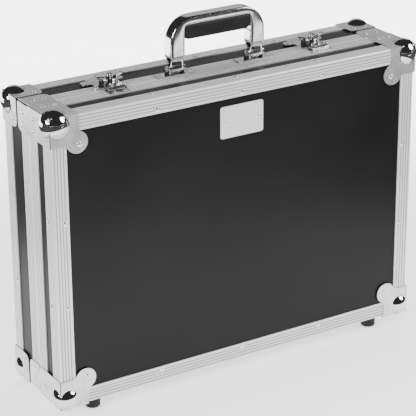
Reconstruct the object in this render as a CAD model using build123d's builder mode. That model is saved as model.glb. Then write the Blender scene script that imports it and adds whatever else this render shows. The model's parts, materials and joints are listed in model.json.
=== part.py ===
from build123d import *
import os

# Carry case in flight-case construction: black laminated boards held in ribbed aluminium
# profiles, with ball corners, two butterfly latches, a folding handle and rubber feet.
# It stands on its feet with the lid facing -Y. Millimetres, +Z up, and the origin is at
# floor level below the middle of the case.

# Case outside the aluminium
case_width = 510.0
case_height = 368.0
case_depth = 120.0
lid_depth = 54.0
foot_height = 14.6

# Shell build-up
skin = 1.5                    # aluminium wall, which stands proud of the boards
board = 6.5
wall = skin + board
seam = 0.15                   # from each closing profile to the parting plane

# Edge profile: an angle over each outer edge, with ribs between shallow grooves
face_leg = 20.0
side_leg = 19.0
edge_round = 2.5
groove_pitch = 3.9
groove_width = 1.3
groove_depth = 0.4
grooves_per_leg = 4

# Closing profile: a channel over the board ends, with a tongue in the lid and a channel in the base
closing_leg = 19.0
closing_inner_leg = 10.0
tongue_near = 3.2
tongue_far = 5.6
tongue_length = 1.8
tongue_play = 0.3
channel_depth = 2.35
base_nose = 3.55

# Ball corners
plate = 1.0                   # pressed steel
plate_reach = 36.0
lobe_place = 33.5             # middle of the lobe, from both edges
lobe_radius = 13.5
lobe_blend = 8.0
ball_radius = 17.0
ball_inset = 10.3
ball_rim = (ball_radius**2 - (ball_inset + plate) ** 2) ** 0.5   # where it meets a plate
ball_blend = 4.0
plate_round = 8.0
slit = 0.9                    # half the gap between the top and the side plate
slit_start = 22.0
brace_reach = 26.0

# Rivets
rivet_dome = ((3.2, 0), (2.95, 0.38), (2.35, 0.78), (1.0, 1.1))   # from its edge to its hole
mandrel_radius = 1.0
mandrel_floor = 0.45
small_rivet_scale = 0.65
rivet_span_x = 116.0
rivet_span_z = 54.0
rivet_inset = 14.5
corner_rivet_near = 12.0
corner_rivet_far = 27.0
parting_rivet_inset = 13.0

# Name plate
name_plate_width = 60.0
name_plate_height = 40.0
name_plate_round = 3.0
name_plate_drop = 49.7        # its centre, below the top of the case
name_plate_thickness = 1.0
name_plate_rivet = 23.2

# Feet
foot_radius = 9.5
foot_round = 2.5
foot_x = 205.7
foot_inset = 15.0             # from the front or rear face
foot_screw_radius = 4.0
foot_screw_depth = 6.0

# Hinges, under the closing profiles
hinge_x = 130.0
hinge_length = 60.0
hinge_leaf = 1.2
hinge_leaf_reach = 16.0
hinge_drop = 3.2              # pin axis below the case
knuckle_radius = 2.8
knuckle_gap = 0.2
hinge_pin_radius = 1.3
hinge_pin_play = 0.05
hinge_pin_head_radius = 1.9
hinge_pin_head = 0.7
hinge_notch = 2.9
hinge_rivet_reach = 10.0
hinge_rivet_spacing = 22.0

# Handle
handle_y = 1.5
handle_half_width = 66.0
handle_height = 70.5
handle_depth = 18.0
handle_foot_depth = 13.0      # of the rounded foot of each post
handle_shoulder = 32.0
opening_half_width = 46.0
opening_height = 42.0
grip_half_width = 44.5
grip_top = 60.5
grip_depth = 16.0
post_x = 56.0
post_neck = 17.0
post_neck_top = 18.0
frame_edge_round = 2.0
grip_round = 4.0
bracket_length = 52.0
bracket_depth = 15.0
bracket_thickness = 1.5
handle_pivot = bracket_thickness + 0.4 + handle_foot_depth / 2
lug_thickness = 2.3
lug_radius = 6.0
lug_gap = 0.3
handle_pin_radius = 2.5
handle_pin_play = 0.05
handle_pin_head_radius = 3.4
handle_pin_head = 0.8
bracket_screw = 18.0

# Butterfly latches, heights above the top of the case
latch_x = 143.0
latch_y = 8.0
latch_plate_thickness = 1.5
latch_plate_width = 34.0
latch_plate_front = -9.0
latch_plate_rear = 30.0
latch_plate_round = 4.0
rear_ear_y = 17.0
rear_ear_span = 56.0
rear_ear_width = 13.0
rear_ear_rivet = 21.5
front_ear_y = -3.5
front_ear_span = 44.0
front_ear_width = 9.0
front_ear_rivet = 17.5
guide_play = 0.5
guide_thickness = 1.0
guide_length = 12.0
guide_height = 7.0
neck_radius = 3.5
flange_radius = 9.0
flange_bottom = 8.4
flange_top = 10.0
hub_radius = 2.6
hub_top = 15.2
hub_hole_radius = 1.4
wing_pin_x = 5.0
wing_pin_z = 12.4
wing_pin_radius = 0.9
wing_pin_play = 0.05
wing_barrel_radius = 1.7
wing_half_length = 21.0
wing_half_width = 8.5
wing_bottom = 12.9
wing_top = 14.3
wing_end = 20.2
wing_root_gap = 0.9
wing_barrel_half = 5.4
finger_hole_x = 16.0
finger_hole_radius = 2.4
lug_inner_y = 5.7
lug_outer_y = 7.8
hook_bottom = 6.0
hook_top = 7.5
hook_width = 16.0
hook_nose = 26.0              # forward of the latch centre
hook_tail = 13.0
hook_lip = 1.2
hook_lip_bottom = 4.8         # just clear of the keeper bar, so the lid can pass
hook_travel = 6.0
hook_slot_play = 0.7
keeper_bar_y = -22.5          # from the latch centre
keeper_bar_radius = 2.0
keeper_bar_z = 2.5
keeper_bar_half = 12.0
keeper_width = 28.0
keeper_depth = 17.0
keeper_plate = 1.0
keeper_rivet = 6.5
keeper_rivet_back = 5.5

# Foam
foam_inset = 9.8
foam_wall = 12.0
foam_columns = 6
foam_rows = 3
foam_front = 0.0
foam_back_sheet = 8.0
foam_joint = 0.05             # glue line between two foam strips
lid_foam_thickness = 22.0
lid_foam_gap = 0.3

# Derived places
bottom = foot_height
top = foot_height + case_height
middle = (bottom + top) / 2
half_width = case_width / 2
half_height = case_height / 2
front = -case_depth / 2
rear = case_depth / 2
parting = front + lid_depth
bar_y = latch_y + keeper_bar_y
pivot_z = top + handle_pivot

# Each side of the case: a plane with X pointing into the case and Y pointing to the rear,
# and half the length of that side.
sides = {
    "top": (Plane(origin=(0, 0, top), x_dir=(0, 0, -1), z_dir=(1, 0, 0)), half_width),
    "bottom": (Plane(origin=(0, 0, bottom), x_dir=(0, 0, 1), z_dir=(-1, 0, 0)), half_width),
    "left": (Plane(origin=(-half_width, 0, middle), x_dir=(1, 0, 0), z_dir=(0, 0, 1)), half_height),
    "right": (Plane(origin=(half_width, 0, middle), x_dir=(-1, 0, 0), z_dir=(0, 0, -1)), half_height),
}
mitre = 40.0

# Each shell: its outer face, and the direction from that face to the parting plane.
shells = {"lid": (front, 1), "base": (rear, -1)}

os.makedirs("parts", exist_ok=True)


def save(shape, label):
    shape.label = label
    export_step(shape, f"parts/{label}.step")


# A straight piece along one side of the case, mitred at both ends. The outline and the
# grooves are drawn in the side's plane.
def mitred_piece(label, side, outline, side_grooves=(), face_grooves=(), rounded=None):
    plane, half_run = sides[side]
    with BuildPart() as piece:
        with BuildSketch(plane) as section:
            with BuildLine():
                Polyline(*outline, close=True)
            make_face()
            if rounded:
                fillet(section.vertices().sort_by_distance(rounded)[0], edge_round)
            if side_grooves:
                with Locations(*side_grooves):
                    Rectangle(2 * groove_depth, groove_width, mode=Mode.SUBTRACT)
            if face_grooves:
                with Locations(*face_grooves):
                    Rectangle(groove_width, 2 * groove_depth, mode=Mode.SUBTRACT)
        extrude(amount=half_run, both=True)
        with BuildSketch(Plane(origin=plane.origin, x_dir=plane.z_dir, z_dir=(0, 1, 0))):
            with BuildLine():
                Polyline(
                    (-half_run, 0),
                    (half_run, 0),
                    (half_run - mitre, mitre),
                    (mitre - half_run, mitre),
                    close=True,
                )
            make_face()
        extrude(amount=case_depth, both=True, mode=Mode.INTERSECT)
    save(piece.part, label)


# Angle profile: one leg on the outer face and one on the side.
def edge_profile(shell, side):
    face, inward = shells[shell]
    outline = [
        (0, face),
        (face_leg, face),
        (face_leg, face + inward * skin),
        (skin, face + inward * skin),
        (skin, face + inward * side_leg),
        (0, face + inward * side_leg),
    ]
    steps = [groove_pitch * (step + 1) for step in range(grooves_per_leg)]
    mitred_piece(
        f"{shell}_edge_{side}",
        side,
        outline,
        side_grooves=[(0, face + inward * step) for step in steps],
        face_grooves=[(step, face) for step in steps],
        rounded=(0, face),
    )


# Board of a side wall, from behind the outer panel to the closing profile.
def side_wall(shell, side):
    face, inward = shells[shell]
    nose = skin if shell == "lid" else base_nose - seam
    inner_end = parting - inward * (seam + nose)
    outline = [
        (skin, face + inward * wall),
        (wall, face + inward * wall),
        (wall, inner_end),
        (skin, inner_end),
    ]
    mitred_piece(f"{shell}_wall_{side}", side, outline)


# Closing profile: distances are measured from the parting plane into its own shell.
def closing_profile(shell, side):
    inward = shells[shell][1]
    if shell == "lid":
        key = [(tongue_near, seam), (tongue_near, -tongue_length)]
        key += [(tongue_far, -tongue_length), (tongue_far, seam)]
        nose = seam + skin
    else:
        near = tongue_near - tongue_play
        far = tongue_far + tongue_play
        key = [(near, seam), (near, channel_depth), (far, channel_depth), (far, seam)]
        nose = base_nose
    section = [(0, seam)] + key
    section += [
        (wall + skin, seam),
        (wall + skin, closing_inner_leg),
        (wall, closing_inner_leg),
        (wall, nose),
        (skin, nose),
        (skin, closing_leg),
        (0, closing_leg),
    ]
    mitred_piece(
        f"{shell}_closing_{side}",
        side,
        [(depth, parting - inward * back) for depth, back in section],
        side_grooves=[
            (0, parting - inward * groove_pitch * (step + 1)) for step in range(grooves_per_leg)
        ],
    )


# Outer panel of a shell, seated under the legs of the edge profiles.
def outer_panel(shell):
    face, inward = shells[shell]
    with BuildPart() as panel:
        seat = Plane(origin=(0, face + inward * skin, middle), x_dir=(1, 0, 0), z_dir=(0, inward, 0))
        with BuildSketch(seat):
            Rectangle(case_width - 2 * skin, case_height - 2 * skin)
        extrude(amount=board)
    save(panel.part, f"{shell}_panel")


for shell in shells:
    outer_panel(shell)
    for side in sides:
        edge_profile(shell, side)
        side_wall(shell, side)
        closing_profile(shell, side)


# Ball corner at the origin, with the case filling the space where X, Y and Z are positive
# and the outer face of the shell at Y = 0. The plates lie on the case, one on each face.
def ball_corner(y_reach):
    with BuildPart() as piece:
        with BuildSketch(Plane(origin=(0, 0, 0), x_dir=(1, 0, 0), z_dir=(0, -1, 0))) as face_outline:
            with Locations(((plate_reach - plate) / 2, (plate_reach - plate) / 2)):
                Rectangle(plate_reach + plate, plate_reach + plate)
            with Locations((lobe_place, lobe_place)):
                Circle(lobe_radius)
            waist = face_outline.vertices().sort_by_distance((plate_reach, plate_reach))[:2]
            fillet(waist, lobe_blend)
        extrude(amount=plate)
        with BuildSketch(Plane.YZ) as side_outline:
            with Locations(((y_reach - plate) / 2, (plate_reach - plate) / 2)):
                Rectangle(y_reach + plate, plate_reach + plate)
            fillet(side_outline.vertices().sort_by_distance((y_reach, plate_reach))[0], plate_round)
        extrude(amount=-plate)
        with BuildSketch(Plane.XY) as top_outline:
            with Locations(((plate_reach - plate) / 2, (y_reach - plate) / 2)):
                Rectangle(plate_reach + plate, y_reach + plate)
            fillet(top_outline.vertices().sort_by_distance((plate_reach, y_reach))[0], plate_round)
        extrude(amount=-plate)
        with Locations((ball_inset, ball_inset, ball_inset)):
            Sphere(ball_radius)
        with Locations((case_depth / 2, case_depth / 2, case_depth / 2)):
            Box(case_depth, case_depth, case_depth, mode=Mode.SUBTRACT)
        ball_rims = piece.edges().filter_by(
            lambda edge: edge.geom_type == GeomType.CIRCLE and abs(edge.radius - ball_rim) < 0.1
        )
        fillet(ball_rims, ball_blend)
        with Locations((0, (slit_start + case_depth) / 2, 0)):
            Box(2 * slit, case_depth - slit_start, 2 * slit, mode=Mode.SUBTRACT)
    return piece.part


# Brace at the parting plane of the base: one tab on the side and one on the top.
def corner_brace():
    with BuildPart() as piece:
        with BuildSketch(Plane.YZ) as side_tab:
            with Locations(((seam + brace_reach) / 2, (slit + plate_reach) / 2)):
                Rectangle(brace_reach - seam, plate_reach - slit)
            fillet(side_tab.vertices().sort_by_distance((brace_reach, plate_reach))[0], plate_round)
        extrude(amount=-plate)
        with BuildSketch(Plane.XY) as top_tab:
            with Locations(((slit + plate_reach) / 2, (seam + brace_reach) / 2)):
                Rectangle(plate_reach - slit, brace_reach - seam)
            fillet(top_tab.vertices().sort_by_distance((plate_reach, brace_reach))[0], plate_round)
        extrude(amount=-plate)
    return piece.part


# Moves a corner piece from the origin to one corner of the case.
def at_corner(piece, x_side, y_start, y_side, z_side):
    if x_side > 0:
        piece = piece.mirror(Plane.YZ)
    if y_side < 0:
        piece = piece.mirror(Plane.XZ)
    if z_side > 0:
        piece = piece.mirror(Plane.XY)
    return piece.moved(Location((x_side * half_width, y_start, middle + z_side * half_height)))


corner_sides = {
    "top_left": (-1, 1),
    "top_right": (1, 1),
    "bottom_left": (-1, -1),
    "bottom_right": (1, -1),
}
lid_corner = ball_corner(lid_depth - seam)
base_corner = ball_corner(plate_reach)
brace = corner_brace()
braces = []
for name, (x_side, z_side) in corner_sides.items():
    save(at_corner(lid_corner, x_side, front, 1, z_side), f"lid_corner_{name}")
    save(at_corner(base_corner, x_side, rear, -1, z_side), f"base_corner_{name}")
    braces += at_corner(brace, x_side, parting, 1, z_side).solids()
save(Compound(braces), "corner_braces")


# Name plate on the lid panel
with BuildPart() as name_plate:
    seat = Plane(origin=(0, front + skin, top - name_plate_drop), x_dir=(1, 0, 0), z_dir=(0, -1, 0))
    with BuildSketch(seat):
        RectangleRounded(name_plate_width, name_plate_height, name_plate_round)
    extrude(amount=name_plate_thickness)
save(name_plate.part, "name_plate")


# Domed rivet standing on Z = 0, with the open end of its mandrel hole
with BuildPart() as rivet:
    with BuildSketch(Plane.XZ):
        with BuildLine():
            Polyline((0, 0), *rivet_dome, (mandrel_radius, mandrel_floor), (0, mandrel_floor), (0, 0))
        make_face()
    revolve(axis=Axis.Z)


def rivets_at(spots, scale=1.0):
    shape = rivet.part if scale == 1.0 else rivet.part.scale(scale)
    return [shape.moved(spot.location) for spot in spots]


# Rivet places of one shell: along the edge profiles, and on the plates of the corners.
def shell_rivets(shell):
    face, inward = shells[shell]
    spots = []
    for x in (-rivet_span_x, 0, rivet_span_x):
        for up in (1, -1):
            edge_z = middle + up * half_height
            spots.append(Plane(origin=(x, face, edge_z - up * rivet_inset), z_dir=(0, -inward, 0)))
            spots.append(Plane(origin=(x, face + inward * rivet_inset, edge_z), z_dir=(0, 0, up)))
    for z in (middle - rivet_span_z, middle + rivet_span_z):
        for across in (1, -1):
            edge_x = across * half_width
            spots.append(
                Plane(origin=(edge_x - across * rivet_inset, face, z), z_dir=(0, -inward, 0))
            )
            spots.append(
                Plane(origin=(edge_x, face + inward * rivet_inset, z), z_dir=(across, 0, 0))
            )
    for across, up in corner_sides.values():
        corner_x = across * half_width
        corner_z = middle + up * half_height
        spots.append(
            Plane(
                origin=(
                    corner_x - across * plate_reach,
                    face - inward * plate,
                    corner_z - up * plate_reach,
                ),
                z_dir=(0, -inward, 0),
            )
        )
        rows = [(parting_rivet_inset, near) for near in (corner_rivet_near, corner_rivet_far)]
        for back, along in rows:
            side_y = parting - back
            if shell == "base":
                side_y = parting + back
            spots.append(
                Plane(origin=(corner_x + across * plate, side_y, corner_z - up * along), z_dir=(across, 0, 0))
            )
            spots.append(
                Plane(origin=(corner_x - across * along, side_y, corner_z + up * plate), z_dir=(0, 0, up))
            )
        if shell == "base":
            lobe_y = rear - corner_rivet_far
            spots.append(
                Plane(
                    origin=(corner_x + across * plate, lobe_y, corner_z - up * corner_rivet_far),
                    z_dir=(across, 0, 0),
                )
            )
            spots.append(
                Plane(
                    origin=(corner_x - across * corner_rivet_far, lobe_y, corner_z + up * plate),
                    z_dir=(0, 0, up),
                )
            )
    return rivets_at(spots)


# Feet: plain rubber stops with a screw recess, two under each shell.
def feet(shell):
    face, inward = shells[shell]
    with BuildPart() as pair:
        with Locations((-foot_x, face + inward * foot_inset, 0), (foot_x, face + inward * foot_inset, 0)):
            Cylinder(foot_radius, foot_height, align=(Align.CENTER, Align.CENTER, Align.MIN))
        fillet(pair.edges().group_by(Axis.Z)[0], foot_round)
        with Locations((-foot_x, face + inward * foot_inset, 0), (foot_x, face + inward * foot_inset, 0)):
            Cylinder(
                foot_screw_radius,
                foot_screw_depth,
                align=(Align.CENTER, Align.CENTER, Align.MIN),
                mode=Mode.SUBTRACT,
            )
    save(pair.part, f"{shell}_feet")


feet("lid")
feet("base")


# Hinges. The pin lies under the parting plane; the base has the outer knuckles of each
# hinge and the lid the middle one. Each leaf is cut back round the other's knuckles.
hinge_axis_z = bottom - hinge_drop
knuckle_length = hinge_length / 3


def hinge_leaves(shell):
    side = -shells[shell][1]
    own = [0.0] if shell == "lid" else [-knuckle_length, knuckle_length]
    other = [-knuckle_length, knuckle_length] if shell == "lid" else [0.0]
    with BuildPart() as leaves:
        for hinge in (-hinge_x, hinge_x):
            with Locations((hinge, parting + side * hinge_leaf_reach / 2, bottom - hinge_leaf / 2)):
                Box(hinge_length, hinge_leaf_reach, hinge_leaf)
            for offset in own:
                with BuildSketch(
                    Plane(origin=(hinge + offset, parting, hinge_axis_z), z_dir=(1, 0, 0))
                ):
                    Circle(knuckle_radius)
                extrude(amount=knuckle_length / 2 - knuckle_gap / 2, both=True)
            for offset in other:
                with Locations((hinge + offset, parting, bottom - hinge_drop / 2)):
                    Box(knuckle_length + knuckle_gap, 2 * hinge_notch, hinge_drop, mode=Mode.SUBTRACT)
        with BuildSketch(Plane(origin=(0, parting, hinge_axis_z), z_dir=(1, 0, 0))):
            Circle(hinge_pin_radius + hinge_pin_play)
        extrude(amount=half_width, both=True, mode=Mode.SUBTRACT)
    save(leaves.part, f"hinge_leaves_{shell}")


hinge_leaves("lid")
hinge_leaves("base")

with BuildPart() as hinge_pins:
    for hinge in (-hinge_x, hinge_x):
        with BuildSketch(Plane(origin=(hinge, parting, hinge_axis_z), z_dir=(1, 0, 0))):
            Circle(hinge_pin_radius)
        extrude(amount=hinge_length / 2 - knuckle_gap / 2, both=True)
        for end in (-1, 1):
            head = hinge + end * (hinge_length - knuckle_gap) / 2
            with BuildSketch(Plane(origin=(head, parting, hinge_axis_z), z_dir=(end, 0, 0))):
                Circle(hinge_pin_head_radius)
            extrude(amount=hinge_pin_head)
save(hinge_pins.part, "hinge_pins")


def hinge_rivets(shell):
    side = -shells[shell][1]
    leaf_y = parting + side * hinge_rivet_reach
    return rivets_at(
        [
            Plane(origin=(hinge + offset, leaf_y, bottom - hinge_leaf), z_dir=(0, 0, -1))
            for hinge in (-hinge_x, hinge_x)
            for offset in (-hinge_rivet_spacing, 0, hinge_rivet_spacing)
        ],
        small_rivet_scale,
    )


name_plate_rivets = rivets_at(
    [
        Plane(origin=(x, front + skin - name_plate_thickness, top - name_plate_drop), z_dir=(0, -1, 0))
        for x in (-name_plate_rivet, name_plate_rivet)
    ],
    small_rivet_scale,
)


# Handle: a frame with two posts, closed at the top round a moulded grip. The foot of each
# post is rounded about the pivot and stands between two lugs.
with BuildPart() as handle_frame:
    with BuildSketch(Plane(origin=(0, handle_y, top), x_dir=(1, 0, 0), z_dir=(0, -1, 0))) as frame_outline:
        with Locations((0, (handle_pivot + handle_height) / 2)):
            Rectangle(2 * handle_half_width, handle_height - handle_pivot)
        fillet(frame_outline.vertices().group_by(Axis.Y)[-1], handle_shoulder)
        with Locations((0, opening_height / 2)):
            Rectangle(2 * opening_half_width, opening_height, mode=Mode.SUBTRACT)
        with Locations((0, (opening_height + grip_top) / 2)):
            Rectangle(2 * grip_half_width, grip_top - opening_height, mode=Mode.SUBTRACT)
        for post in (-post_x, post_x):
            for outer in (-1, 1):
                with Locations((post + outer * post_neck, post_neck_top / 2)):
                    Rectangle(post_neck, post_neck_top, mode=Mode.SUBTRACT)
    extrude(amount=handle_depth / 2, both=True)
    fillet(handle_frame.edges().filter_by(GeomType.CIRCLE), frame_edge_round)
    step_y = (handle_depth + handle_foot_depth) / 4
    step_height = post_neck_top - handle_pivot
    with Locations(*[(0, handle_y + side * step_y, pivot_z + step_height / 2) for side in (-1, 1)]):
        Box(case_width, (handle_depth - handle_foot_depth) / 2, step_height, mode=Mode.SUBTRACT)
    for post in (-post_x, post_x):
        with BuildSketch(Plane(origin=(post, handle_y, pivot_z), z_dir=(1, 0, 0))):
            Circle(handle_foot_depth / 2)
        extrude(amount=post_neck / 2, both=True)
        with BuildSketch(Plane(origin=(post, handle_y, pivot_z), z_dir=(1, 0, 0))):
            Circle(handle_pin_radius + handle_pin_play)
        extrude(amount=post_neck, both=True, mode=Mode.SUBTRACT)
save(handle_frame.part, "handle_frame")

with BuildPart() as handle_grip:
    with Locations((0, handle_y, top + (opening_height + grip_top) / 2)):
        Box(2 * grip_half_width, grip_depth, grip_top - opening_height)
    fillet(handle_grip.edges().filter_by(Axis.X), grip_round)
save(handle_grip.part, "handle_grip")

with BuildPart() as handle_brackets:
    for post in (-post_x, post_x):
        with Locations((post, handle_y, top + bracket_thickness / 2)):
            Box(bracket_length, bracket_depth, bracket_thickness)
        for outer in (-1, 1):
            lug_x = post + outer * (post_neck / 2 + lug_gap)
            with BuildSketch(Plane(origin=(lug_x, handle_y, pivot_z), x_dir=(0, 1, 0), z_dir=(1, 0, 0))):
                Circle(lug_radius)
                with Locations((0, (bracket_thickness - handle_pivot) / 2)):
                    Rectangle(2 * lug_radius, handle_pivot - bracket_thickness)
            extrude(amount=outer * lug_thickness)
        with BuildSketch(Plane(origin=(post, handle_y, pivot_z), z_dir=(1, 0, 0))):
            Circle(handle_pin_radius + handle_pin_play)
        extrude(amount=post_neck, both=True, mode=Mode.SUBTRACT)
save(handle_brackets.part, "handle_brackets")

with BuildPart() as handle_pins:
    pin_half_length = post_neck / 2 + lug_gap + lug_thickness
    for post in (-post_x, post_x):
        with BuildSketch(Plane(origin=(post, handle_y, pivot_z), z_dir=(1, 0, 0))):
            Circle(handle_pin_radius)
        extrude(amount=pin_half_length, both=True)
        for end in (-1, 1):
            head = post + end * pin_half_length
            with BuildSketch(Plane(origin=(head, handle_y, pivot_z), z_dir=(end, 0, 0))):
                Circle(handle_pin_head_radius)
            extrude(amount=handle_pin_head)
save(handle_pins.part, "handle_pins")


# Butterfly latch, built with its turning axis on Z and Z = 0 at the top of the case.
# A rotor carries two folding wings and stands on a plate; the hook slides between the
# guides of the plate, round the neck of the rotor, and reaches over the keeper.
with BuildPart() as latch_plate:
    with BuildSketch(Plane.XY):
        with Locations((0, (latch_plate_rear + latch_plate_front) / 2)):
            RectangleRounded(latch_plate_width, latch_plate_rear - latch_plate_front, latch_plate_round)
        with Locations((0, rear_ear_y)):
            SlotOverall(rear_ear_span, rear_ear_width)
        with Locations((0, front_ear_y)):
            SlotOverall(front_ear_span, front_ear_width)
    extrude(amount=latch_plate_thickness)
    guide_x = hook_width / 2 + guide_play + guide_thickness / 2
    with Locations((-guide_x, 0, guide_height / 2), (guide_x, 0, guide_height / 2)):
        Box(guide_thickness, guide_length, guide_height)

with BuildPart() as rotor:
    with BuildSketch(Plane.XZ):
        with BuildLine():
            Polyline(
                (0, latch_plate_thickness),
                (neck_radius, latch_plate_thickness),
                (neck_radius, flange_bottom),
                (flange_radius, flange_bottom),
                (flange_radius, flange_top),
                (hub_radius, flange_top),
                (hub_radius, hub_top),
                (hub_hole_radius, hub_top),
                (hub_hole_radius, wing_top - wing_bottom + flange_top),
                (0, wing_top - wing_bottom + flange_top),
                close=True,
            )
        make_face()
    revolve(axis=Axis.Z)
    lug_y = (lug_inner_y + lug_outer_y) / 2
    lug_z = (flange_top + wing_top) / 2
    with GridLocations(2 * wing_pin_x, 2 * lug_y, 2, 2):
        with Locations((0, 0, lug_z)):
            Box(2 * wing_barrel_radius, lug_outer_y - lug_inner_y, wing_top - flange_top)
    for pin_x in (-wing_pin_x, wing_pin_x):
        with BuildSketch(Plane(origin=(pin_x, 0, wing_pin_z), z_dir=(0, 1, 0))):
            Circle(wing_pin_radius)
        extrude(amount=lug_outer_y, both=True)

wing_arc = (wing_half_length**2 + wing_half_width**2) / (2 * wing_half_width)
wing_root = wing_pin_x + wing_barrel_radius + wing_root_gap
with BuildPart() as wing:
    with BuildSketch(Plane.XY.offset(wing_bottom)):
        with Locations((0, wing_arc - wing_half_width)):
            Circle(wing_arc)
        with Locations((0, wing_half_width - wing_arc)):
            Circle(wing_arc, mode=Mode.INTERSECT)
        with Locations(((wing_root + wing_end) / 2, 0)):
            Rectangle(wing_end - wing_root, 2 * wing_half_width, mode=Mode.INTERSECT)
        with Locations(((wing_pin_x + wing_root) / 2, 0)):
            Rectangle(wing_root - wing_pin_x, 2 * wing_barrel_half)
        with Locations((finger_hole_x, 0)):
            Circle(finger_hole_radius, mode=Mode.SUBTRACT)
    extrude(amount=wing_top - wing_bottom)
    with BuildSketch(Plane(origin=(wing_pin_x, 0, wing_pin_z), z_dir=(0, 1, 0))):
        Circle(wing_barrel_radius)
    extrude(amount=wing_barrel_half, both=True)
    with BuildSketch(Plane(origin=(wing_pin_x, 0, wing_pin_z), z_dir=(0, 1, 0))):
        Circle(wing_pin_radius + wing_pin_play)
    extrude(amount=wing_half_width, both=True, mode=Mode.SUBTRACT)

with BuildPart() as hook:
    with BuildSketch(Plane.XY.offset(hook_bottom)):
        with Locations((0, (hook_tail - hook_nose) / 2)):
            Rectangle(hook_width, hook_tail + hook_nose)
        with Locations((0, hook_travel / 2)):
            slot_width = 2 * (neck_radius + hook_slot_play)
            SlotCenterToCenter(hook_travel, slot_width, rotation=90, mode=Mode.SUBTRACT)
    extrude(amount=hook_top - hook_bottom)
    with Locations((0, hook_lip / 2 - hook_nose, (hook_lip_bottom + hook_top) / 2)):
        Box(hook_width, hook_lip, hook_top - hook_lip_bottom)

latch_spots = {"left": -latch_x, "right": latch_x}
for hand, x in latch_spots.items():
    spot = Location((x, latch_y, top))
    save(latch_plate.part.moved(spot), f"latch_plate_{hand}")
    save(rotor.part.moved(spot), f"latch_rotor_{hand}")
    save(wing.part.moved(spot), f"latch_wing_a_{hand}")
    save(wing.part.mirror(Plane.YZ).moved(spot), f"latch_wing_b_{hand}")
    save(hook.part.moved(spot), f"latch_hook_{hand}")

with BuildPart() as latch_keepers:
    for x in latch_spots.values():
        with Locations((x, bar_y, top + keeper_plate / 2)):
            Box(keeper_width, keeper_depth, keeper_plate)
        with BuildSketch(Plane(origin=(x, bar_y, top + keeper_bar_z), z_dir=(1, 0, 0))):
            Circle(keeper_bar_radius)
        extrude(amount=keeper_bar_half, both=True)
save(latch_keepers.part, "latch_keepers")

latch_rivets = rivets_at(
    [
        Plane(origin=(x + across * spread, latch_y + ear_y, top + latch_plate_thickness))
        for x in latch_spots.values()
        for across in (-1, 1)
        for spread, ear_y in ((rear_ear_rivet, rear_ear_y), (front_ear_rivet, front_ear_y))
    ],
    small_rivet_scale,
)
keeper_rivets = rivets_at(
    [
        Plane(origin=(x + across * keeper_rivet, bar_y - keeper_rivet_back, top + keeper_plate))
        for x in latch_spots.values()
        for across in (-1, 1)
    ],
    small_rivet_scale,
)
bracket_rivets = rivets_at(
    [
        Plane(origin=(post + across * bracket_screw, handle_y, top + bracket_thickness))
        for post in (-post_x, post_x)
        for across in (-1, 1)
    ],
    small_rivet_scale,
)
save(
    Compound(shell_rivets("lid") + hinge_rivets("lid") + name_plate_rivets + keeper_rivets),
    "lid_rivets",
)
save(
    Compound(shell_rivets("base") + hinge_rivets("base") + latch_rivets + bracket_rivets),
    "base_rivets",
)


# Foam: a tray of strips on a back sheet in the base, and a pad in the lid.
tray_width = case_width - 2 * foam_inset
tray_height = case_height - 2 * foam_inset
tray_rear = rear - wall
pocket_rear = tray_rear - foam_back_sheet
pocket_width = (tray_width - (foam_columns + 1) * foam_wall) / foam_columns
pocket_height = (tray_height - (foam_rows + 1) * foam_wall) / foam_rows
with BuildPart() as foam_tray:
    strip_y = (foam_front + pocket_rear - foam_joint) / 2
    strip_depth = pocket_rear - foam_joint - foam_front
    with Locations((0, tray_rear - foam_back_sheet / 2, middle)):
        Box(tray_width, foam_back_sheet, tray_height)
    with Locations((0, strip_y, middle)):
        with GridLocations(pocket_width + foam_wall, 1, foam_columns + 1, 1):
            Box(foam_wall, strip_depth, tray_height)
    for row in range(foam_rows + 1):
        strip_z = middle + (row - foam_rows / 2) * (pocket_height + foam_wall)
        with Locations((0, strip_y, strip_z)):
            with GridLocations(pocket_width + foam_wall, 1, foam_columns, 1):
                Box(pocket_width - 2 * foam_joint, strip_depth, foam_wall)
save(foam_tray.part, "foam_tray")

with BuildPart() as lid_foam:
    with Locations((0, front + wall + lid_foam_thickness / 2, middle)):
        Box(
            case_width - 2 * (wall + lid_foam_gap),
            lid_foam_thickness,
            case_height - 2 * (wall + lid_foam_gap),
        )
save(lid_foam.part, "lid_foam")
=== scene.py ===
import bmesh
import bpy
import json
import math
import numpy as np
from mathutils import Matrix, Vector


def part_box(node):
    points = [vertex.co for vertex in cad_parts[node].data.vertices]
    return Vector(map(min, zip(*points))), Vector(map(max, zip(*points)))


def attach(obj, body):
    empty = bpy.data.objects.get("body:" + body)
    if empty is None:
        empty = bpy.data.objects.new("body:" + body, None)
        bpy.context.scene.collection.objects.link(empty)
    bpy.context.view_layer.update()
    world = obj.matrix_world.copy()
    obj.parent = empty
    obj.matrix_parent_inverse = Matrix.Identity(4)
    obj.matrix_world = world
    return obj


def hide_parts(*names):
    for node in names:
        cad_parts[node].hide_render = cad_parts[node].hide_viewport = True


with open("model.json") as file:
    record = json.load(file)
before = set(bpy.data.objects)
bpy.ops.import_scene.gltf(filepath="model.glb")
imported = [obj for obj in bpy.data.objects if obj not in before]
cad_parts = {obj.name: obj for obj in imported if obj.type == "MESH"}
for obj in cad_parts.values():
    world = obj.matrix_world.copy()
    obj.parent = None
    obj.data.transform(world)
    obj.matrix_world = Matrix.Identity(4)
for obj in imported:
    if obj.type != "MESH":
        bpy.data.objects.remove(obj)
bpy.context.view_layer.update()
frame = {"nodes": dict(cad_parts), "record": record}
nodes = frame["nodes"]
print("frame loaded", len(nodes), "nodes")

# camera: where it looks, from which side, and how long its lens is
cameraSpec = {
    "aim": (-0.0095, 0.0046, 0.1977),
    "azimuth": -31.32,
    "elevation": 22.76,
    "roll": -0.45,
    "distance": 2.288,
    "lens": 159.0,
    "farthest": 50,
}


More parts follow.
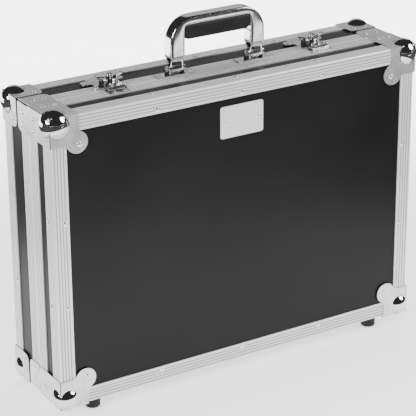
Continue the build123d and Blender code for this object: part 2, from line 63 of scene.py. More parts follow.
def placeCamera(spec):
    azimuth = math.radians(spec["azimuth"])
    elevation = math.radians(spec["elevation"])
    away = Vector(
        (
            math.sin(azimuth) * math.cos(elevation),
            -math.cos(azimuth) * math.cos(elevation),
            math.sin(elevation),
        )
    )
    camera = bpy.data.objects.new("camera", bpy.data.cameras.new("camera"))
    bpy.context.scene.collection.objects.link(camera)
    roll = Matrix.Rotation(math.radians(spec["roll"]), 3, "Z")
    turn = (-away).to_track_quat("-Z", "Y").to_matrix() @ roll
    place = Vector(spec["aim"]) + away * spec["distance"]
    camera.matrix_world = Matrix.Translation(place) @ turn.to_4x4()
    camera.data.lens = spec["lens"]
    camera.data.clip_end = spec["farthest"]
    bpy.context.scene.camera = camera


placeCamera(cameraSpec)

# studio: a bright sweep under and around the case, a dark room above it, and soft boxes in the dark
studioSpec = {
    "wall": 0.15,
    "ceiling": 0.035,
    "rise": (-0.02, 0.1),
    "strength": 1.0,
    "floorColor": (0.96, 0.96, 0.96, 1),
    "floorGlow": 4.6,
    "nearShare": 0.27,
    "glowRings": (0.45, 1.25),
    "floorSize": 30.0,
    # black cards: inner and outer radius, then first and last bearing in degrees
    "cards": [((0.6, 14.0), (150.0, 455.0)), ((0.6, 1.27), (95.0, 150.0))],
    "cardSteps": 48,
    "cardLift": 0.002,
    "cardTone": 0.06,
    "whiteLift": 0.004,
    "whiteTone": 0.9,
    "whiteGlow": 1.2,
    "whiteCards": [
        ((0.42, -1.20), (0.42, -1.11), (1.05, -1.08), (1.05, -1.17)),
        ((0.42, -1.08), (0.42, -0.99), (1.05, -0.97), (1.05, -1.05)),
    ],
    "boxes": [
        # name, shape, place, aim, size, power, and whether reflections see it
        ("leftRound", "DISK", (-2.6, -0.5, 1.65), (0, 0, 0.2), (1.7, 1.7), 75, True),
        ("rightRound", "DISK", (2.2, -1.35, 1.75), (0, 0, 0.2), (1.9, 1.9), 75, True),
        ("topBox", "RECTANGLE", (0.2, 0.5, 3.0), (0, 0, 0.2), (2.4, 0.5), 78, False),
        ("backBox", "RECTANGLE", (1.44, 2.37, 1.4), (0, 0, 0.3), (2.6, 1.3), 6, True),
    ],
}


# a socket of a node tree that can be added, taken away, multiplied and divided like a number
class Wire:
    def __init__(self, tree, socket=None):
        self.tree = tree
        self.socket = socket

    # any node: its type, its settings, which are set first, then its sockets' values or links
    def node(self, kind, settings=None, inputs=None, output=0):
        made = self.tree.nodes.new(kind)
        for key, value in (settings or {}).items():
            setattr(made, key, value)
        for key, value in (inputs or {}).items():
            if isinstance(value, Wire):
                self.tree.links.new(value.socket, made.inputs[key])
            else:
                made.inputs[key].default_value = value
        return Wire(self.tree, made.outputs[output])

    def maths(self, operation, *values):
        return self.node("ShaderNodeMath", {"operation": operation}, dict(enumerate(values)))

    def __add__(self, other):
        return self.maths("ADD", self, other)

    def __sub__(self, other):
        return self.maths("SUBTRACT", self, other)

    def __mul__(self, other):
        return self.maths("MULTIPLY", self, other)

    def __truediv__(self, other):
        return self.maths("DIVIDE", self, other)

    def __rsub__(self, other):
        return self.maths("SUBTRACT", other, self)

    __radd__ = __add__
    __rmul__ = __mul__

    # 0 below low, 1 above high
    def between(self, low, high):
        return self.node(
            "ShaderNodeMapRange",
            {"interpolation_type": "SMOOTHSTEP"},
            {"Value": self, "From Min": low, "From Max": high},
        )

    def place(self):
        return self.node("ShaderNodeTexCoord", output="Object")

    def axes(self, vector):
        x = self.node("ShaderNodeSeparateXYZ", inputs={"Vector": vector}, output="X")
        return [Wire(self.tree, x.socket.node.outputs[name]) for name in "XYZ"]

    def size(self):
        return self.maths("ABSOLUTE", self)

    def scaled(self, scale):
        return self.node("ShaderNodeMapping", inputs={"Vector": self, "Scale": scale})

    def noise(self, vector, scale, detail=2.0, rough=0.5):
        sockets = {"Vector": vector, "Scale": scale, "Detail": detail, "Roughness": rough}
        return self.node("ShaderNodeTexNoise", inputs=sockets)

    def cells(self, vector, scale, feature="F1"):
        sockets = {"Vector": vector, "Scale": scale}
        return self.node("ShaderNodeTexVoronoi", {"feature": feature}, sockets)

    # the color sockets of a Mix node: 0 is its factor, 6 and 7 its colors, and output 2 the result
    def colorMix(self, mask, first, second):
        made = self.node("ShaderNodeMix", {"data_type": "RGBA"}, output=2)
        mixNode = made.socket.node
        for index, value in ((0, mask), (6, first), (7, second)):
            if isinstance(value, Wire):
                self.tree.links.new(value.socket, mixNode.inputs[index])
            else:
                mixNode.inputs[index].default_value = value
        return made

    def bump(self, height, distance):
        sockets = {"Height": height, "Distance": distance, "Strength": 1.0}
        return self.node("ShaderNodeBump", inputs=sockets)


# a material whose constants sit on the shader and whose varying sockets come from paint(wire)
def newMaterial(name, constants, paint):
    material = bpy.data.materials.new(name)
    material.use_nodes = True
    tree = material.node_tree
    shader = tree.nodes["Principled BSDF"]
    for key, value in constants.items():
        shader.inputs[key].default_value = value
    for key, wire in paint(Wire(tree)).items():
        tree.links.new(wire.socket, shader.inputs[key])
    return material


def grey(value, warmth=0.0):
    return (value * (1 + warmth), value, value * (1 - warmth), 1.0)


# satin black laminate: fine orange peel, faint cloudy sheen, a few hairline scuffs
laminateLook = {
    "dark": 0.004,
    "light": 0.0065,
    "peel": 900.0,
    "peelDepth": 0.00002,
    "scuff": 0.05,
    "scuffRun": (40, 40, 900),
    "rough": 0.3,
}


def paintLaminate(wire):
    look = laminateLook
    place = wire.place()
    cloud = wire.noise(place, 7.0, 3.0)
    peel = wire.noise(place, look["peel"], 2.0)
    streaks = wire.noise(place.scaled(look["scuffRun"]), 1.0, 4.0, 0.6).between(0.66, 0.8)
    scuff = streaks * wire.noise(place, 11.0, 2.0).between(0.52, 0.7) * look["scuff"]
    tone = cloud.between(0.3, 0.7)
    return {
        "Base Color": wire.colorMix(tone, grey(look["dark"]), grey(look["light"])),
        "Roughness": look["rough"] + cloud * 0.1 + scuff,
        "Normal": wire.bump(peel, look["peelDepth"]),
    }


# the case's outside, from its packed boxes
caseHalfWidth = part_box("lid_edge_top")[1][0]
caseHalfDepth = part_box("base_edge_top")[1][1]
caseMiddle = sum(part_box("lid_edge_left")[corner][2] for corner in (0, 1)) / 2
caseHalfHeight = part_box("lid_edge_left")[1][2] - caseMiddle
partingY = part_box("base_closing_top")[0][1]

# silver anodised extrusion: drawing lines along the run, cloudy sheen, small nicks, and grey
# dust with painted shade in the grooves, which lie at whole steps from the outer edges and from the
# parting
aluminiumLook = {
    "dark": 0.70,
    "light": 0.82,
    "cool": -0.016,
    "lineDepth": 0.00003,
    "along": 6.0,
    "across": 2600.0,
    "pitch": 0.0039,
    "grooves": 4,
    # grey of the grooves: dust, with painted shade in the recesses
    "grooveHalf": (0.00035, 0.0009),
    "dust": 0.5,
    "rough": 0.27,
    "metal": 0.5,
    "gapReach": 0.0032,
    "gapTone": 0.006,
}


# 1 in a groove, from the distance to the edge that the grooves are counted from
def grooveMask(wire, distance, look):
    step = distance / look["pitch"]
    off = (wire.maths("FRACT", step + 0.5) - 0.5).size() * look["pitch"]
    first = distance.between(look["pitch"] * 0.5, look["pitch"] * 0.55)
    end = (look["pitch"] * (look["grooves"] + 0.45), look["pitch"] * (look["grooves"] + 0.5))
    last = 1.0 - distance.between(*end)
    return (1.0 - off.between(*look["grooveHalf"])) * first * last


def paintAluminium(alongAxis):
    look = aluminiumLook
    stretch = [look["across"]] * 3
    stretch[alongAxis] = look["along"]

    def paint(wire):
        place = wire.place()
        x, y, z = wire.axes(place)
        lines = wire.noise(place.scaled(tuple(stretch)), 1.0, 3.0, 0.6)
        cloud = wire.noise(place, 16.0, 3.0)
        nicks = wire.cells(place, 210.0).between(0.055, 0.02) * cloud.between(0.6, 0.68)
        tone = (lines * 0.55 + cloud * 0.45).between(0.25, 0.75)
        fromParting = (y - partingY).size()
        fromFace = caseHalfDepth - y.size()
        fromSide = caseHalfWidth - x.size()
        fromTop = caseHalfHeight - (z - caseMiddle).size()
        fromEdge = fromTop if alongAxis == 0 else fromSide
        groove = grooveMask(wire, wire.maths("MINIMUM", fromParting, fromFace), look)
        groove = wire.maths("MAXIMUM", groove, grooveMask(wire, fromEdge, look))
        # under the slit of each corner piece the edge is in deep shade
        edge = (look["gapReach"] * 0.9, look["gapReach"])
        gap = (1.0 - fromSide.between(*edge)) * (1.0 - fromTop.between(*edge))
        dark, light = grey(look["dark"], look["cool"]), grey(look["light"], look["cool"])
        # groove tone: grey dust plus painted shade in the grooves, mixed into the silver as dusty
        dust = grey(look["dust"] * look["dark"], look["cool"])
        silver = wire.colorMix(tone, dark, light)
        dusty = wire.colorMix(groove * (0.75 + cloud * 0.5), silver, dust)
        rough = look["rough"] + cloud * 0.12 + lines * 0.08 - nicks * 0.1
        return {
            "Base Color": wire.colorMix(gap, dusty, grey(look["gapTone"])),
            "Roughness": rough + groove * 0.2 + gap * 0.3,
            "Metallic": look["metal"] - gap * look["metal"],
            "Normal": wire.bump(lines - nicks * 3.0, look["lineDepth"]),
        }

    return paint


# pressed and plated steel: a brushed, cloudy flat and a mirror on the ball of each corner, with painted
# shade on each ball's lower half
pressedLook = {
    "dark": 0.54,
    "light": 0.82,
    "warm": 0.018,
    "metal": 0.85,
    "ballRadius": 0.0171,
    "ballInset": 0.0103,
    "ballEdge": 0.002,
    "rough": 0.22,
    "ballRough": 0.05,
    "hazeRough": 0.3,
    "ballUpper": 0.74,
    # painted shade: the lower half of each ball is coloured darker than its upper half
    "ballShadedLower": 0.54,
    "hazeAndShadeFrom": (-0.012, -0.001),
    "seam": 0.0002,
    "seamTone": 0.06,
}


# the ball is everything within its radius of the ball's middle, with a soft edge
def paintPressed(wire):
    look = pressedLook
    place = wire.place()
    x, y, z = wire.axes(place)
    across, deep, tall = x.size(), y.size(), (z - caseMiddle).size()
    dx = across - (caseHalfWidth - look["ballInset"])
    dy = deep - (caseHalfDepth - look["ballInset"])
    dz = tall - (caseHalfHeight - look["ballInset"])
    reach = wire.maths("SQRT", dx * dx + dy * dy + dz * dz)
    cloud = wire.noise(place, 60.0, 4.0, 0.65)
    grain = wire.noise(place, 1400.0, 2.0)
    # the mirror is clear above the middle of a ball, and hazier below it, where the ball's colour is
    # darker as painted shade
    ballLevel = wire.maths("SIGN", z - caseMiddle) * (caseHalfHeight - look["ballInset"])
    hazeAndShade = 1.0 - (z - caseMiddle - ballLevel).between(*look["hazeAndShadeFrom"])
    ball = 1.0 - reach.between(look["ballRadius"], look["ballRadius"] + look["ballEdge"])
    # joints of the side plate with the plate on the face and with the top plate
    beside = (across - caseHalfWidth).between(0.0, look["seam"])
    before = (deep - caseHalfDepth).between(0.0, look["seam"])
    above = (tall - caseHalfHeight).between(0.0, look["seam"])
    seam = beside * wire.maths("MAXIMUM", before, above) * (1.0 - ball)
    tone = (cloud * 0.7 + grain * 0.3).between(0.3, 0.7)
    warm = look["warm"]
    plateColor = wire.colorMix(tone, grey(look["dark"], warm), grey(look["light"], warm))
    # painted shade: the ball's colour darkens below its middle
    ballColor = wire.colorMix(hazeAndShade, grey(look["ballUpper"]), grey(look["ballShadedLower"], warm))
    bright = wire.colorMix(ball, plateColor, ballColor)
    plateRough = look["rough"] + cloud * 0.16
    return {
        "Base Color": wire.colorMix(seam, bright, grey(look["seamTone"])),
        "Roughness": plateRough * (1.0 - ball) + look["ballRough"] + hazeAndShade * ball * look["hazeRough"],
        "Metallic": look["metal"] + ball * (1.0 - look["metal"]) - seam * 0.5,
        "Normal": wire.bump(grain * (1.0 - ball), 0.00003),
    }


# bright chrome: a faint haze and fine wiping marks
chromeLook = {
    "dark": 0.72,
    "light": 0.84,
    "haze": 60.0,
    "wipe": (900, 140, 900),
    "rough": 0.05,
}


def paintChrome(wire):
    look = chromeLook
    place = wire.place()
    haze = wire.noise(place, look["haze"], 3.0)
    wipe = wire.noise(place.scaled(look["wipe"]), 1.0, 3.0).between(0.6, 0.85)
    return {
        "Base Color": wire.colorMix(haze, grey(look["dark"]), grey(look["light"])),
        "Roughness": look["rough"] + haze * 0.05 + wipe * 0.05,
    }


# zinc plated sheet: small spangles and a soft grain
zincLook = {
    "dark": 0.5,
    "light": 0.76,
    "cool": -0.01,
    "spangle": 320.0,
    "rough": 0.1,
    "grainDepth": 0.000006,
}


def paintZinc(wire):
    look = zincLook
    place = wire.place()
    spangle = wire.cells(place, look["spangle"])
    grain = wire.noise(place, 1800.0, 2.0)
    cloud = wire.noise(place, 60.0, 3.0)
    dark, light = [grey(look[name], look["cool"]) for name in ("dark", "light")]
    return {
        "Base Color": wire.colorMix(spangle.between(0.2, 0.8), dark, light),
        "Roughness": look["rough"] + cloud * 0.1 + spangle * 0.06,
        "Normal": wire.bump(grain, look["grainDepth"]),
    }


# drawn steel: fine grain, lighter and darker from one rivet to the next
rivetLook = {"dark": 0.8, "light": 0.95, "rough": 0.16, "grainDepth": 0.00001}


def paintRivet(wire):
    look = rivetLook
    place = wire.place()
    grain = wire.noise(place, 2200.0, 2.0)
    cloud = wire.noise(place, 300.0, 2.0)
    return {
        "Base Color": wire.colorMix(cloud, grey(look["dark"]), grey(look["light"])),
        "Roughness": look["rough"] + cloud * 0.14,
        "Normal": wire.bump(grain, look["grainDepth"]),
    }


# satin plate: fine brushing along X
plateLook = {
    "dark": 0.82,
    "light": 0.92,
    "brush": (30, 3000, 3000),
    "rough": 0.24,
    "brushDepth": 0.00002,
}


def paintPlate(wire):
    look = plateLook
    place = wire.place()
    brushing = wire.noise(place.scaled(look["brush"]), 1.0, 3.0, 0.65)
    cloud = wire.noise(place, 55.0, 2.0)
    return {
        "Base Color": wire.colorMix(cloud, grey(look["dark"]), grey(look["light"])),
        "Roughness": look["rough"] + brushing * 0.16,
        "Normal": wire.bump(brushing, look["brushDepth"]),
    }


# grained black moulding: leathery cells, worn smoother on the ridges
gripLook = {
    "dark": 0.003,
    "light": 0.007,
    "cells": 620.0,
    "rough": 0.38,
    "cellDepth": 0.00012,
}


def paintGrip(wire):
    look = gripLook
    place = wire.place()
    cells = wire.cells(place, look["cells"], "SMOOTH_F1")
    cloud = wire.noise(place, 80.0, 3.0)
    return {
        "Base Color": wire.colorMix(cloud.between(0.3, 0.7), grey(look["dark"]), grey(look["light"])),
        "Roughness": look["rough"] + cells * 0.2 + cloud * 0.08,
        "Normal": wire.bump(cells, look["cellDepth"]),
    }


# black rubber: matt, with a patchy grey bloom of dust
rubberLook = {"dark": 0.003, "dusty": 0.014, "rough": 0.6, "grainDepth": 0.00006}


def paintRubber(wire):
    look = rubberLook
    place = wire.place()
    grain = wire.noise(place, 1500.0, 3.0)
    dust = wire.noise(place, 140.0, 4.0).between(0.45, 0.75)
    return {
        "Base Color": wire.colorMix(dust * 0.6, grey(look["dark"]), grey(look["dusty"])),
        "Roughness": look["rough"] + grain * 0.25,
        "Normal": wire.bump(grain, look["grainDepth"]),
    }


# open cell foam: dark pores in a charcoal skin
foamLook = {
    "dark": 0.012,
    "light": 0.055,
    "pores": (900.0, 420.0),
    "rough": 0.85,
    "poreDepth": 0.0006,
}


def paintFoam(wire):
    look = foamLook
    place = wire.place()
    pores, coarse = [wire.cells(place, scale) for scale in look["pores"]]
    cloud = wire.noise(place, 30.0, 3.0)
    height = pores * 0.5 + coarse * 0.5
    tone = (height * 0.8 + cloud * 0.2).between(0.1, 0.7)
    return {
        "Base Color": wire.colorMix(tone, grey(look["dark"]), grey(look["light"])),
        "Roughness": look["rough"] + cloud * 0.12,
        "Normal": wire.bump(height, look["poreDepth"]),
    }


metal = {"Metallic": 1.0}
satin = {"Metallic": 0.5}
plain = {"Metallic": 0.0, "Specular IOR Level": 0.5}
sheen = {"Metallic": 0.0, "Specular IOR Level": 0.2}
finishes = {
    "laminate": newMaterial("blackLaminate", sheen, paintLaminate),
    "aluminiumX": newMaterial("ribbedAluminiumAcross", {}, paintAluminium(0)),
    "aluminiumZ": newMaterial("ribbedAluminiumUpright", {}, paintAluminium(2)),
    "pressed_chrome": newMaterial("pressedSteel", {}, paintPressed),
    "chrome": newMaterial("brightChrome", metal, paintChrome),
    "zinc_steel": newMaterial("zincSheet", metal, paintZinc),
    "steel_rivet": newMaterial("rivetSteel", {"Metallic": 0.8}, paintRivet),
    "plate_metal": newMaterial("satinPlate", satin, paintPlate),
    "grip_plastic": newMaterial("grainedGrip", plain, paintGrip),
    "rubber": newMaterial("footRubber", plain, paintRubber),
    "foam": newMaterial("charcoalFoam", plain, paintFoam),
}


def dress(piece, finish):
    piece.data.materials.clear()
    piece.data.materials.append(finishes[finish])


# quads between neighbouring points of a grid, closed round its columns where asked
def gridFaces(rows, columns, wrap=False):
    index = np.arange(rows * columns).reshape(rows, columns)
    if wrap:
        index = np.hstack([index, index[:, :1]])
    corners = (index[:-1, :-1], index[1:, :-1], index[1:, 1:], index[:-1, 1:])
    return np.stack(corners, axis=-1).reshape(-1, 4)


# closed tube: rings of points one after another, and a flat end on the first and the last
def tubeShell(rings):
    count, around = rings.shape[:2]
    ends = [list(range(around)), list(range((count - 1) * around, count * around))]
    return rings.reshape(-1, 3), gridFaces(count, around, wrap=True), ends


# closed slab over a grid of X and Z lines: front(x, z) gives Y on one side, and back is a flat Y
def slabShell(xLines, zLines, front, back):
    doubled = [np.pad(lines, 1, mode="edge") for lines in (xLines, zLines)]
    x, z = np.meshgrid(*doubled, indexing="ij")
    y = front(x, z)
    rim = np.zeros(x.shape, dtype=bool)
    rim[[0, -1], :] = True
    rim[:, [0, -1]] = True
    points = np.stack([x, np.where(rim, back, y), z], axis=-1)
    return points.reshape(-1, 3), gridFaces(*x.shape), []


# one new piece from closed shells; it stands for the replaced nodes and moves with a body
def addPiece(name, shells, finish, body, replaced, sharp=35.0):
    points, faces, start = [], [], 0
    for shellPoints, quads, ends in shells:
        points.append(shellPoints)
        faces += (quads + start).tolist()
        faces += [[start + corner for corner in end] for end in ends]
        start += len(shellPoints)
    mesh = bpy.data.meshes.new(name)
    mesh.from_pydata(np.concatenate(points).tolist(), [], faces)
    work = bmesh.new()
    work.from_mesh(mesh)
    bmesh.ops.remove_doubles(work, verts=work.verts, dist=1e-6)
    openEdges = [edge for edge in work.edges if edge.is_boundary]
    bmesh.ops.holes_fill(work, edges=openEdges, sides=0)
    bmesh.ops.recalc_face_normals(work, faces=work.faces)
    work.to_mesh(mesh)
    work.free()
    mesh.polygons.foreach_set("use_smooth", np.ones(len(mesh.polygons), dtype=bool))
    mesh.set_sharp_from_angle(angle=math.radians(sharp))
    piece = bpy.data.objects.new(name, mesh)
    bpy.context.scene.collection.objects.link(piece)
    dress(piece, finish)
    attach(piece, body)
    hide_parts(*replaced)
    print("piece", name, len(mesh.polygons), "faces")
    return piece


# 0 below low, 1 above high, smooth between
def ramp(low, high, value):
    share = np.clip((value - low) / (high - low), 0, 1)
    return share * share * (3 - 2 * share)


# one ring per row of middles: |a|^power + |b|^power = 1, with a along `across` and b along Y
def squareRings(middles, across, halfAcross, halfDepth, power, count):
    turn = np.linspace(0, 2 * np.pi, count, endpoint=False)
    a = np.sign(np.cos(turn)) * np.abs(np.cos(turn)) ** (2 / power)
    b = np.sign(np.sin(turn)) * np.abs(np.sin(turn)) ** (2 / power)
    alongAcross = halfAcross[:, None, None] * a[None, :, None] * across[:, None, :]
    alongY = halfDepth[:, None, None] * b[None, :, None] * np.array([0.0, 1.0, 0.0])
    return middles[:, None, :] + alongAcross + alongY


# chrome handle: a band whose sides run from the feet up the posts, round the shoulders and over
# the grip. Millimetres, from the top of the case and the middle of the handle.
handleSpec = {
    "halfWidth": 66.0,
    "height": 70.5,
    "shoulder": 32.0,
    "innerHalfWidth": 46.0,
    "innerHeight": 60.5,
    "innerRound": 2.0,
    "halfDepth": 9.0,
    "pivot": 8.4,
    "footHalfWidth": 8.5,
    "footRadius": 6.5,
    "footTop": (17.6, 23.0),
    "footAlong": (-1.0, -0.97, -0.88, -0.6, 0.6, 0.88, 0.97, 1.0),
    "footShare": (0.86, 0.94, 0.99, 1.0, 1.0, 0.99, 0.94, 0.86),
    "footAround": 40,
    "power": 7.0,
    "around": 56,
    "gripEnds": (44.8, 45.6, 46.0),
    "gripMiddle": 43.5,
    "gripBottom": 42.0,
    "gripHalfDepth": 8.3,
    "gripSink": 0.4,
    "gripEase": 0.06,
    "gripEaseFrom": 44.0,
    "gripLift": 2.6,
    "gripLiftFrom": 40.5,
    "gripPower": 6.0,
    "gripAround": 48,
}
mm = 0.001
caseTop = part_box("base_edge_top")[1][2]
handleY = sum(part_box("handle_frame")[corner][1] for corner in (0, 1)) / 2


# Outer side: a straight post, then a quarter circle of the shoulder radius, then level.
# Inner side: straight up to a small round, then level. Rings join the two, share by share.
def handleBand(spec):
    post = spec["height"] - spec["shoulder"]
    footTop = spec["footTop"][0]
    rise = np.concatenate([np.linspace(spec["pivot"], footTop, 3)[:-1], np.linspace(footTop, post, 14)])
    turn = np.linspace(0, np.pi / 2, 30)[1:]
    flat = np.linspace(spec["halfWidth"] - spec["shoulder"], 0, 5)[1:]
    outerX = np.concatenate([
        np.full(len(rise), spec["halfWidth"]),
        spec["halfWidth"] - spec["shoulder"] * (1 - np.cos(turn)),
        flat,
    ])
    outerZ = np.concatenate([
        rise,
        post + spec["shoulder"] * np.sin(turn),
        np.full(len(flat), spec["height"]),
    ])
    # distance along the inner side while the outer side turns
    climb = spec["innerHeight"] - post
    level = spec["innerHalfWidth"] - (spec["halfWidth"] - spec["shoulder"])
    reach = turn / turn[-1] * (climb + level)
    over = reach - climb
    dip = np.sqrt(over**2 + spec["innerRound"] ** 2)
    innerX = np.concatenate([
        np.full(len(rise), spec["innerHalfWidth"]),
        spec["innerHalfWidth"] - (over + dip) / 2,
        flat,
    ])
    innerZ = np.concatenate([
        rise,
        spec["innerHeight"] + (over - dip) / 2,
        np.full(len(flat), spec["innerHeight"]),
    ])
    innerZ = np.minimum(innerZ, spec["innerHeight"])
    outer = np.stack([outerX, 0 * outerX, outerZ], axis=-1)
    inner = np.stack([innerX, 0 * innerX, innerZ], axis=-1)
    outer = np.concatenate([outer * (-1, 1, 1), outer[-2::-1]])
    inner = np.concatenate([inner * (-1, 1, 1), inner[-2::-1]])
    middles = (outer + inner) / 2
    halves = np.linalg.norm(outer - inner, axis=1) / 2
    across = (outer - inner) / (2 * halves[:, None])
    waist = ramp(*spec["footTop"], outer[:, 2])
    halves = halves * waist + spec["footHalfWidth"] * (1 - waist)
    depths = spec["halfDepth"] * waist + spec["footRadius"] * (1 - waist)
    return squareRings(middles, across, halves, depths, spec["power"], spec["around"])


# rounded foot of one post: circles about the pivot, a little smaller at both ends
def handleFoot(spec, postX):
    along = np.array(spec["footAlong"])
    radius = spec["footRadius"] * np.array(spec["footShare"])
    turn = np.linspace(0, 2 * np.pi, spec["footAround"], endpoint=False)
    x = postX + along[:, None] * spec["footHalfWidth"] + 0 * turn[None, :]
    y = radius[:, None] * np.cos(turn)[None, :]
    z = spec["pivot"] + radius[:, None] * np.sin(turn)[None, :]
    return np.stack([x, y, z], axis=-1)


# grip: square-ended tube along X, whose underside lifts towards both ends
def gripRings(spec):
    ends = np.array(spec["gripEnds"])
    middle = np.linspace(-spec["gripMiddle"], spec["gripMiddle"], 30)
    x = np.concatenate([-ends[::-1], middle, ends])
    lift = spec["gripLift"] * ramp(spec["gripLiftFrom"], spec["innerHalfWidth"], np.abs(x))
    low = spec["gripBottom"] + lift
    high = spec["innerHeight"] + spec["gripSink"]
    ease = 1 - spec["gripEase"] * ramp(spec["gripEaseFrom"], ends[-1], np.abs(x))
    middles = np.stack([x, 0 * x, (low + high) / 2], axis=-1)
    upward = np.tile([0.0, 0.0, 1.0], (len(x), 1))
    depths = spec["gripHalfDepth"] * ease
    return squareRings(middles, upward, (high - low) / 2, depths, spec["gripPower"], spec["gripAround"])


def atHandle(rings):
    return rings * mm + np.array([0.0, handleY, caseTop])


def addHandle(spec):
    postX = (spec["halfWidth"] + spec["innerHalfWidth"]) / 2
    shells = [tubeShell(atHandle(handleBand(spec)))]
    shells += [tubeShell(atHandle(handleFoot(spec, side * postX))) for side in (-1, 1)]
    addPiece("handleBand", shells, "chrome", "handle", ["handle_frame"])
    grip = [tubeShell(atHandle(gripRings(spec)))]
    addPiece("handleGrip", grip, "grip_plastic", "handle", ["handle_grip"])


# foam: the tray's pockets are cut square, with soft rims; the lid pad is convoluted
foamSpec = {
    "columns": 6,
    "rows": 3,
    "wall": 12.0,
    "backSheet": 8.0,
    "rim": 2.0,
    "steps": (-2.0, -1.5, -1.0, -0.5, -0.15, 0.0, 0.35, 0.8, 1.5, 2.4),
    "edgeSteps": (0.0, 0.3, 0.8, 1.4, 2.0),
    "floorLines": (0.15, 0.85, 4),
    "wallRun": 0.35,
    "swell": 0.5,
    "swellWaves": (61.0, 0.7, 47.0),
    "wave": 30.0,
    "waveDepth": 13.0,
    "waveStep": 3.0,
}


# the grid lines across one direction of the tray, clustered at the wall of every pocket
def pocketLines(low, high, count, spec):
    pitch = (high - low - spec["wall"] * mm) / count
    starts = low + spec["wall"] * mm + pitch * np.arange(count)
    ends = starts + pitch - spec["wall"] * mm
    steps = np.array(spec["steps"]) * mm
    between = starts[:, None] + (ends - starts)[:, None] * np.linspace(*spec["floorLines"])
    edges = np.array(spec["edgeSteps"]) * mm
    lines = [
        low + edges,
        high - edges,
        (starts[:, None] + steps).ravel(),
        (ends[:, None] - steps).ravel(),
        between.ravel(),
        starts - spec["wall"] * mm / 2,
    ]
    return np.unique(np.concatenate(lines)), starts, ends


# Depth below the foam's face: a quarter round down to each pocket, a steep wall, a quarter round
# onto its floor; a quarter round off the block's own outer edges; and over all a slight swell, the
# product of a sine along X and a sine along Z.
def addFoamTray(spec):
    low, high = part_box("foam_tray")
    xLines, xStarts, xEnds = pocketLines(low[0], high[0], spec["columns"], spec)
    zLines, zStarts, zEnds = pocketLines(low[2], high[2], spec["rows"], spec)
    floor = (high[1] - low[1]) - spec["backSheet"] * mm
    rim = spec["rim"] * mm
    run = spec["wallRun"] * mm
    waveX, shift, waveZ = spec["swellWaves"]

    def inside(value, starts, ends):
        return np.max(np.minimum(value[..., None] - starts, ends - value[..., None]), axis=-1)

    def front(x, z):
        into = np.minimum(inside(x, xStarts, xEnds), inside(z, zStarts, zEnds))
        lip = rim - np.sqrt(rim**2 - np.clip(into + rim, 0, rim) ** 2)
        wall = np.clip(into / run, 0, 1) * (floor - 2 * rim)
        heel = np.sqrt(rim**2 - (rim - np.clip(into - run, 0, rim)) ** 2)
        edge = np.minimum(np.minimum(x - low[0], high[0] - x), np.minimum(z - low[2], high[2] - z))
        off = rim - np.sqrt(rim**2 - (rim - np.clip(edge, 0, rim)) ** 2)
        wave = spec["swell"] * mm * (np.sin(x * waveX + shift) * np.sin(z * waveZ) + 1) / 2
        return low[1] + lip + wall + heel + off + wave

    shell = slabShell(xLines, zLines, front, high[1])
    tray = addPiece("foamTray", [shell], "foam", "base", ["foam_tray"])


# Y of the pad's face is its top less half the wave depth times one minus the mean of two cosines,
# which gives rows of round peaks and hollows.
def addLidFoam(spec):
    low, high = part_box("lid_foam")
    step = spec["waveStep"] * mm
    xLines = np.linspace(low[0], high[0], round((high[0] - low[0]) / step))
    zLines = np.linspace(low[2], high[2], round((high[2] - low[2]) / step))

    def front(x, z):
        turns = 2 * np.pi / (spec["wave"] * mm)
        hills = (np.cos(turns * x) + np.cos(turns * (z - low[2]))) / 2
        return high[1] - spec["waveDepth"] * mm * (1 - hills) / 2

    shell = slabShell(xLines, zLines, front, low[1])
    pad = addPiece("lidFoamPad", [shell], "foam", "lid", ["lid_foam"], sharp=60.0)


for part in frame["record"]["subparts"]:
    finish = part["material_slot"]
    if finish == "aluminium":
        upright = part["node"].endswith(("left", "right"))
        finish = "aluminiumZ" if upright else "aluminiumX"
    dress(nodes[part["node"]], finish)
print("finishes made", len(finishes))

addHandle(handleSpec)
addFoamTray(foamSpec)
addLidFoam(foamSpec)


def addFloor(spec):
    half = spec["floorSize"] / 2
    mesh = bpy.data.meshes.new("floor")
    corners = [(-half, -half, 0), (half, -half, 0), (half, half, 0), (-half, half, 0)]
    mesh.from_pydata(corners, [], [(0, 1, 2, 3)])
    floor = bpy.data.objects.new("floor", mesh)
    bpy.context.scene.collection.objects.link(floor)
    constants = {
        "Base Color": spec["floorColor"],
        "Specular IOR Level": 0.2,
        "Emission Strength": spec["floorGlow"],
    }

    # the sweep is lit more strongly away from the case
    def paint(wire):
        place = wire.place()
        length = {"operation": "LENGTH"}
        away = wire.node("ShaderNodeVectorMath", length, {0: place}, output="Value")
        far = away.between(*spec["glowRings"])
        return {
            "Roughness": 0.75 + wire.noise(place, 60.0) * 0.1,
            "Emission Color": wire.colorMix(far, grey(spec["nearShare"]), grey(1.0)),
        }

    matt = newMaterial("paleFloor", constants, paint)
    floor.data.materials.append(matt)


# a card lying on the sweep that only mirror rays see
def addCard(name, points, faces, constants):
    mesh = bpy.data.meshes.new(name)
    mesh.from_pydata(points, [], faces)
    card = bpy.data.objects.new(name, mesh)
    bpy.context.scene.collection.objects.link(card)
    card.visible_camera = False
    card.visible_diffuse = False
    card.visible_shadow = False

    def paint(wire):
        return {"Roughness": 0.9 + wire.noise(wire.place(), 20.0) * 0.1}

    card.data.materials.append(newMaterial(name, constants, paint))


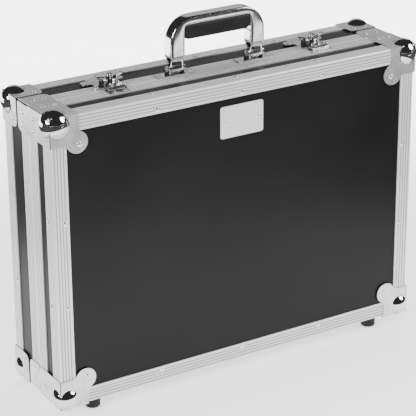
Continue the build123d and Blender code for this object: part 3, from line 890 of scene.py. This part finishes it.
# A black ring round the sweep gives chrome its dark studio, and it is narrower behind on the left;
# white strips light the handle. A ring's points are radius times (cos, sin) of the bearing.
def addCards(spec):
    black = {"Base Color": grey(spec["cardTone"]), "Specular IOR Level": 0.0}
    for number, (radii, bearings) in enumerate(spec["cards"]):
        turn = np.radians(np.linspace(*bearings, spec["cardSteps"]))
        radius = np.array(radii)[:, None]
        level = np.full((2, len(turn)), spec["cardLift"])
        ring = np.stack([radius * np.cos(turn), radius * np.sin(turn), level], axis=-1)
        faces = gridFaces(2, len(turn)).tolist()
        addCard(f"blackCard{number}", ring.reshape(-1, 3).tolist(), faces, black)
    white = {
        "Base Color": grey(spec["whiteTone"]),
        "Emission Color": grey(1.0),
        "Emission Strength": spec["whiteGlow"],
    }
    for number, corners in enumerate(spec["whiteCards"]):
        points = [(x, y, spec["whiteLift"]) for x, y in corners]
        addCard(f"whiteCard{number}", points, [(0, 1, 2, 3)], white)


def addSoftBox(name, shape, place, aim, size, power, seen):
    light = bpy.data.lights.new(name, "AREA")
    light.shape = shape
    light.size = size[0]
    if shape == "RECTANGLE":
        light.size_y = size[1]
    light.energy = power
    lamp = bpy.data.objects.new(name, light)
    bpy.context.scene.collection.objects.link(lamp)
    lamp.visible_glossy = seen
    turn = (Vector(aim) - Vector(place)).to_track_quat("-Z", "Y").to_matrix().to_4x4()
    lamp.matrix_world = Matrix.Translation(place) @ turn


# walls brighten to the wall value at the horizon and fall to the ceiling value overhead
def addWorld(spec):
    world = bpy.data.worlds.new("studio")
    world.use_nodes = True
    tree = world.node_tree
    wire = Wire(tree)
    direction = wire.node("ShaderNodeTexCoord", output="Generated")
    up = wire.node("ShaderNodeSeparateXYZ", inputs={"Vector": direction}, output="Z")
    level = spec["wall"] + up.between(*spec["rise"]) * (spec["ceiling"] - spec["wall"])
    background = tree.nodes["Background"]
    tree.links.new(level.socket, background.inputs["Color"])
    background.inputs["Strength"].default_value = spec["strength"]
    bpy.context.scene.world = world


addFloor(studioSpec)
addCards(studioSpec)
addWorld(studioSpec)
for box in studioSpec["boxes"]:
    addSoftBox(*box)
print("studio built")
